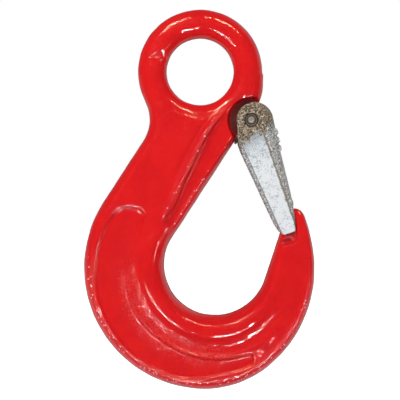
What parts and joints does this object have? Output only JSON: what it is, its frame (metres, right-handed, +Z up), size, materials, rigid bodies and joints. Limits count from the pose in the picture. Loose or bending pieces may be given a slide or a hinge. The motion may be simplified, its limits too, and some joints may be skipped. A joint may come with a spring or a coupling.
{
  "type": "eye sling hook with latch",
  "caption": "Forged eye hook for lifting chain, with a ring at the top, a wide saddle, and a sprung channel latch that shuts the throat against the tip.",
  "frame": {"origin": "centre of the eye, on the bore's axis and on the forging's mid plane", "axes": "+Z up along the line of load, from the saddle to the eye's crown; +X across towards the hook's tip; +Y along the eye's bore and the latch pin, away from the picture's viewer"},
  "size_m": [0.0881, 0.0174, 0.1452],
  "materials": {
    "red_paint": "glossy thick paint over a forged skin",
    "galvanised": "spangled zinc coat, brown-grey mottling at the head and back",
    "dark_steel": "blackened, worn bright at the ends",
    "spring_steel": "drawn wire, oiled"
  },
  "bodies": {
    "hook": {"hook_body": "red_paint", "latch_pin": "dark_steel", "latch_spring": "spring_steel"},
    "latch": {"latch": "galvanised"}
  },
  "joints": [
    {"name": "latch_hinge", "type": "hinge", "parent": "hook", "child": "latch", "pos_m": [0.0194, 0, -0.0189], "axis": [0, 1, 0], "range_deg": [0, 50], "stiffness_Nm_per_rad": 0.08, "springref_deg": -45.84, "deforming": ["latch_spring"]}
  ]
}
